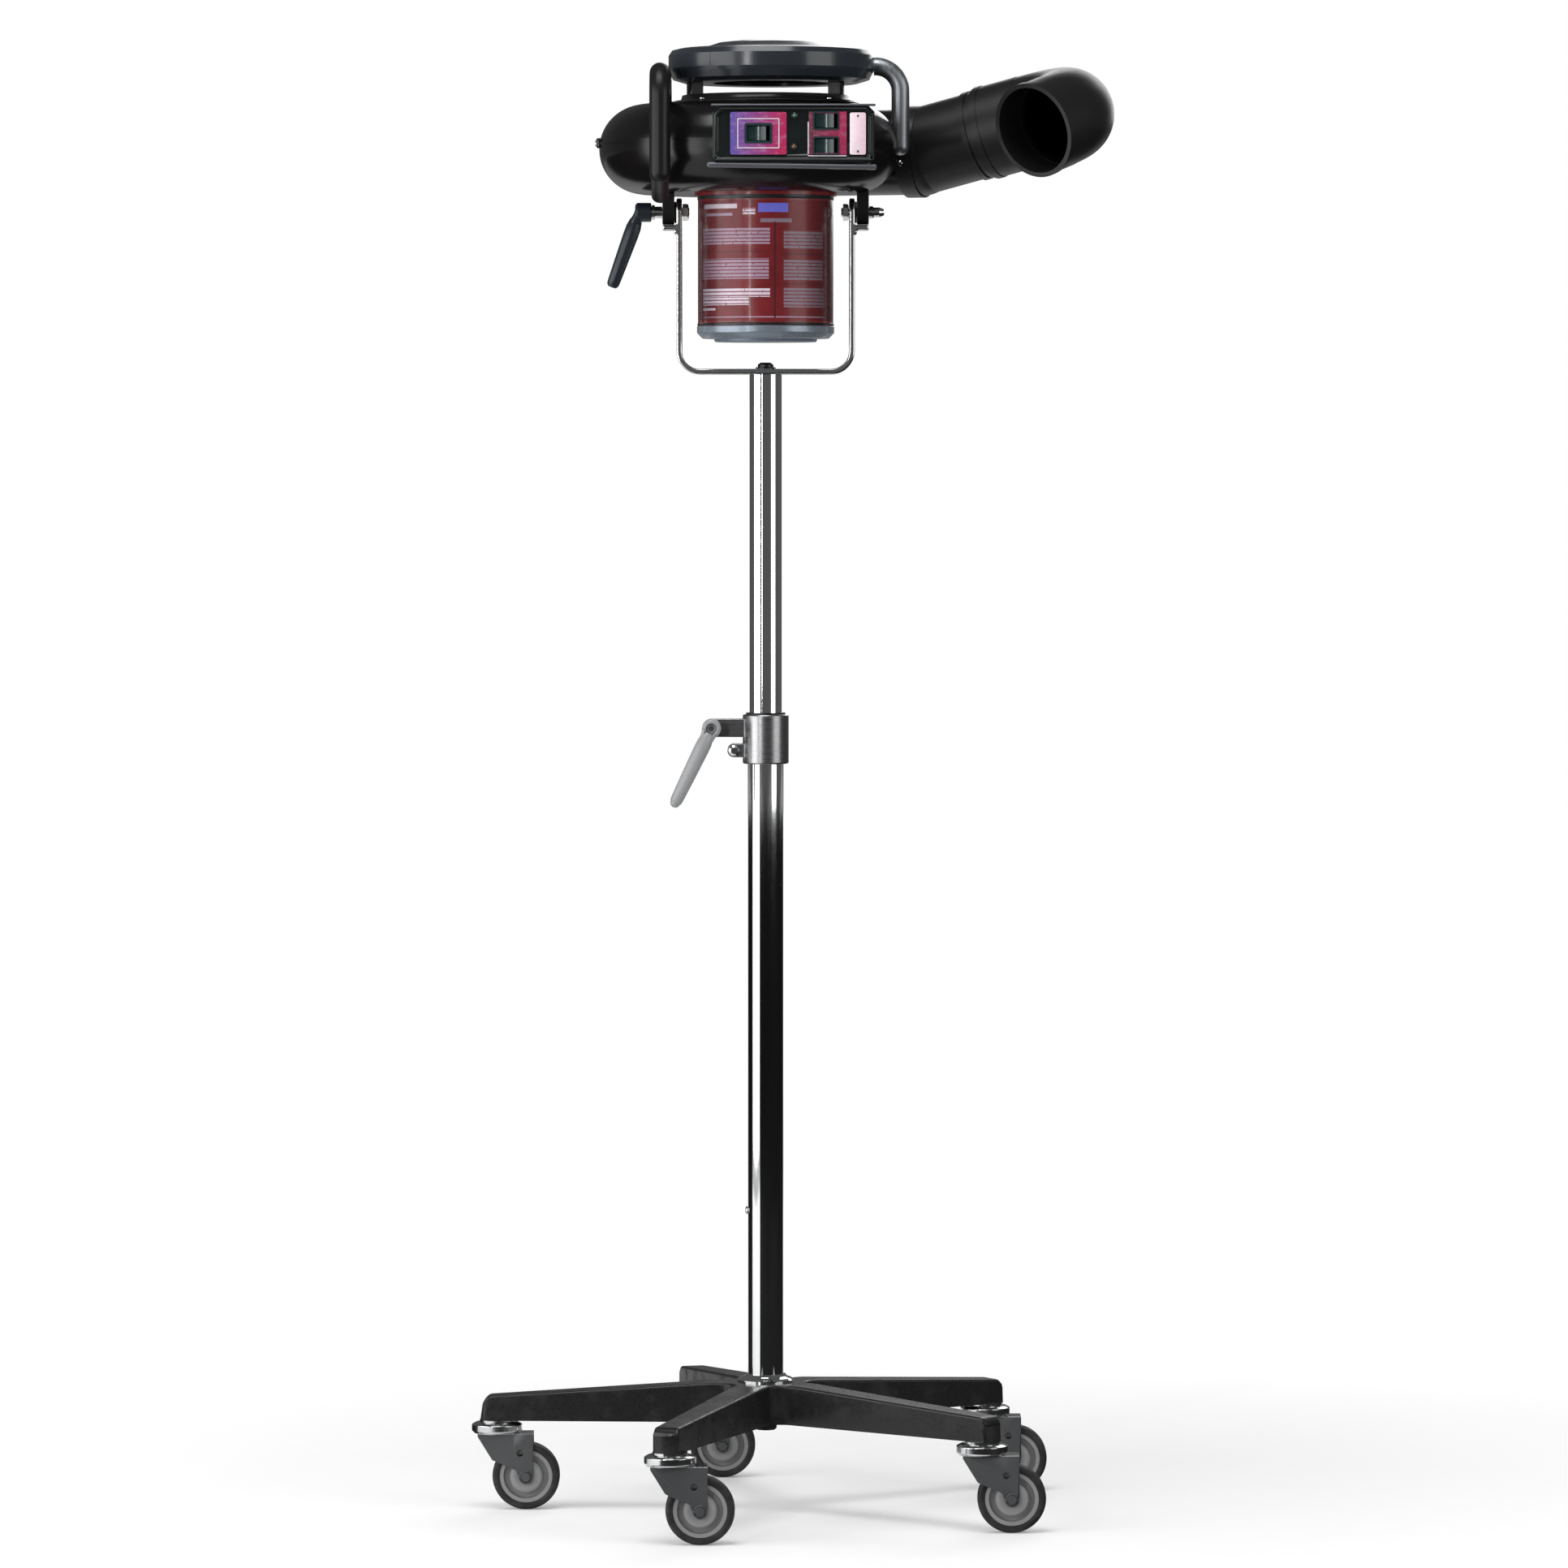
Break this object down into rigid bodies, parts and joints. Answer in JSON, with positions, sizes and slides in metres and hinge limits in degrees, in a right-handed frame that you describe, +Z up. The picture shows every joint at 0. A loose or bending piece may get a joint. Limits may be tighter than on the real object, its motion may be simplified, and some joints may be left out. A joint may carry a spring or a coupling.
{
  "type": "salon air dryer on stand",
  "caption": "Stand dryer: fan housing with motor can and swivel nozzle in a tilting yoke on a telescopic pole with a five-leg caster base.",
  "frame": {"origin": "on the floor, on the axis of the pole", "axes": "+Z up along the pole, -Y towards the operator side with the control panel, +X towards the outlet duct"},
  "size_m": [0.5709, 0.5012, 1.307],
  "materials": {
    "black_powdercoat": "satin",
    "satin_trim": "satin",
    "zinc_plate": "satin",
    "chrome_tube": "polished",
    "black_nylon": "matte",
    "grey_casting": "satin",
    "stainless_insert": "satin",
    "grey_lever": "satin",
    "black_lever": "satin",
    "black_oxide": "satin",
    "friction_steel": "satin",
    "white_yoke": "gloss",
    "housing_black": "satin",
    "ear_black": "satin",
    "can_red": "gloss",
    "cap_blue_grey": "satin",
    "stator_core": "matte",
    "bearing_steel": "polished",
    "shaft_steel": "satin",
    "fan_aluminium": "satin",
    "handle_grey": "satin",
    "cover_slate": "satin",
    "grip_black": "satin",
    "rocker_black": "gloss",
    "duct_black": "satin",
    "heater_mica": "matte",
    "gland_black": "matte",
    "fork_grey": "satin",
    "wheel_grey": "satin",
    "tyre_black": "matte"
  },
  "bodies": {
    "base": {"base_spider": "black_powdercoat", "pole_ring": "satin_trim", "pole_bolt": "zinc_plate", "lower_tube": "chrome_tube", "tube_button": "zinc_plate", "guide_bush": "black_nylon", "clamp_collar": "grey_casting", "collar_screw": "stainless_insert", "caster_stems": "zinc_plate"},
    "clamp_screw_body": {"clamp_stud": "stainless_insert"},
    "clamp_handle": {"clamp_lever": "grey_lever", "clamp_lever_screw": "stainless_insert"},
    "glide": {"tube_glide": "black_nylon"},
    "mast": {"upper_tube": "chrome_tube", "yoke": "white_yoke", "yoke_bolt": "stainless_insert", "pivot_bolt": "black_oxide", "friction_washers": "friction_steel"},
    "tilt_screw_body": {"tilt_stud": "stainless_insert"},
    "tilt_handle": {"tilt_lever": "black_lever", "tilt_lever_screw": "black_oxide"},
    "head": {"lower_casing": "housing_black", "upper_casing": "housing_black", "casing_screws": "stainless_insert", "pivot_ears": "ear_black", "motor_can": "can_red", "end_cap": "cap_blue_grey", "stator": "stator_core", "bearings": "bearing_steel", "intake_ring": "housing_black", "intake_grille": "black_oxide", "intake_cover": "cover_slate", "carry_handle": "handle_grey", "side_grip": "grip_black", "control_panel": "housing_black", "outlet_duct": "duct_black", "heater": "heater_mica", "cord_gland": "gland_black"},
    "rotor": {"rotor_shaft": "shaft_steel", "impeller": "fan_aluminium"},
    "nozzle": {"swivel_nozzle": "duct_black", "nozzle_tip": "duct_black"},
    "power_switch": {"power_rocker": "rocker_black"},
    "heat_switch": {"heat_rocker": "rocker_black"},
    "speed_switch": {"speed_rocker": "rocker_black"},
    "caster_1": {"fork_1": "fork_grey"},
    "wheel_body_1": {"wheel_1": "wheel_grey", "tyre_1": "tyre_black"},
    "caster_2": {"fork_2": "fork_grey"},
    "wheel_body_2": {"wheel_2": "wheel_grey", "tyre_2": "tyre_black"},
    "caster_3": {"fork_3": "fork_grey"},
    "wheel_body_3": {"wheel_3": "wheel_grey", "tyre_3": "tyre_black"},
    "caster_4": {"fork_4": "fork_grey"},
    "wheel_body_4": {"wheel_4": "wheel_grey", "tyre_4": "tyre_black"},
    "caster_5": {"fork_5": "fork_grey"},
    "wheel_body_5": {"wheel_5": "wheel_grey", "tyre_5": "tyre_black"}
  },
  "joints": [
    {"name": "clamp_turn", "type": "hinge", "parent": "base", "child": "clamp_screw_body", "pos_m": [-0.048, 0, 0.698], "axis": [0, -1, 0], "range_deg": [-90, 25]},
    {"name": "clamp_lift", "type": "slide", "parent": "clamp_screw_body", "child": "clamp_handle", "axis": [0, -1, 0], "range_m": [0, 0.004], "stiffness_N_per_m": 200, "springref_m": -0.002},
    {"name": "height_slide", "type": "slide", "parent": "base", "child": "glide", "axis": [0, 0, 1], "range_m": [-0.28, 0.17]},
    {"name": "mast_swivel", "type": "hinge", "parent": "glide", "child": "mast", "pos_m": [0, 0, 1.0115], "axis": [0, 0, 1], "range_deg": [-180, 180]},
    {"name": "tilt_clamp_turn", "type": "hinge", "parent": "mast", "child": "tilt_screw_body", "pos_m": [-0.0914, 0, 1.155], "axis": [-1, 0, 0], "range_deg": [-45, 45]},
    {"name": "tilt_clamp_lift", "type": "slide", "parent": "tilt_screw_body", "child": "tilt_handle", "axis": [-1, 0, 0], "range_m": [0, 0.004], "stiffness_N_per_m": 200, "springref_m": -0.002},
    {"name": "head_tilt", "type": "hinge", "parent": "mast", "child": "head", "pos_m": [0, 0, 1.155], "axis": [1, 0, 0], "range_deg": [-60, 60]},
    {"name": "rotor_spin", "type": "hinge", "parent": "head", "child": "rotor", "pos_m": [0, 0, 1.182], "axis": [0, 0, 1], "continuous": true},
    {"name": "nozzle_swivel", "type": "hinge", "parent": "head", "child": "nozzle", "pos_m": [0.19625, 0.0529, 1.22708], "axis": [0.9118, -0.3319, 0.2419], "continuous": true},
    {"name": "power_switch_rock", "type": "hinge", "parent": "head", "child": "power_switch", "pos_m": [-0.006, -0.122, 1.2195], "axis": [0, 0, 1], "range_deg": [0, 20]},
    {"name": "heat_switch_rock", "type": "hinge", "parent": "head", "child": "heat_switch", "pos_m": [0.053, -0.122, 1.2305], "axis": [0, 0, 1], "range_deg": [0, 20]},
    {"name": "speed_switch_rock", "type": "hinge", "parent": "head", "child": "speed_switch", "pos_m": [0.053, -0.122, 1.2085], "axis": [0, 0, 1], "range_deg": [0, 20]},
    {"name": "caster_swivel_1", "type": "hinge", "parent": "base", "child": "caster_1", "pos_m": [-0.08208, -0.22553, 0.0685], "axis": [0, 0, 1], "continuous": true},
    {"name": "wheel_spin_1", "type": "hinge", "parent": "caster_1", "child": "wheel_body_1", "pos_m": [-0.05608, -0.22553, 0.03], "axis": [0, 1, 0], "continuous": true},
    {"name": "caster_swivel_2", "type": "hinge", "parent": "base", "child": "caster_2", "pos_m": [0.18912, -0.14776, 0.0685], "axis": [0, 0, 1], "continuous": true},
    {"name": "wheel_spin_2", "type": "hinge", "parent": "caster_2", "child": "wheel_body_2", "pos_m": [0.21512, -0.14776, 0.03], "axis": [0, 1, 0], "continuous": true},
    {"name": "caster_swivel_3", "type": "hinge", "parent": "base", "child": "caster_3", "pos_m": [0.19897, 0.13421, 0.0685], "axis": [0, 0, 1], "continuous": true},
    {"name": "wheel_spin_3", "type": "hinge", "parent": "caster_3", "child": "wheel_body_3", "pos_m": [0.22497, 0.13421, 0.03], "axis": [0, 1, 0], "continuous": true},
    {"name": "caster_swivel_4", "type": "hinge", "parent": "base", "child": "caster_4", "pos_m": [-0.06615, 0.2307, 0.0685], "axis": [0, 0, 1], "continuous": true},
    {"name": "wheel_spin_4", "type": "hinge", "parent": "caster_4", "child": "wheel_body_4", "pos_m": [-0.04015, 0.2307, 0.03], "axis": [0, 1, 0], "continuous": true},
    {"name": "caster_swivel_5", "type": "hinge", "parent": "base", "child": "caster_5", "pos_m": [-0.23985, 0.00838, 0.0685], "axis": [0, 0, 1], "continuous": true},
    {"name": "wheel_spin_5", "type": "hinge", "parent": "caster_5", "child": "wheel_body_5", "pos_m": [-0.21385, 0.00838, 0.03], "axis": [0, 1, 0], "continuous": true}
  ]
}
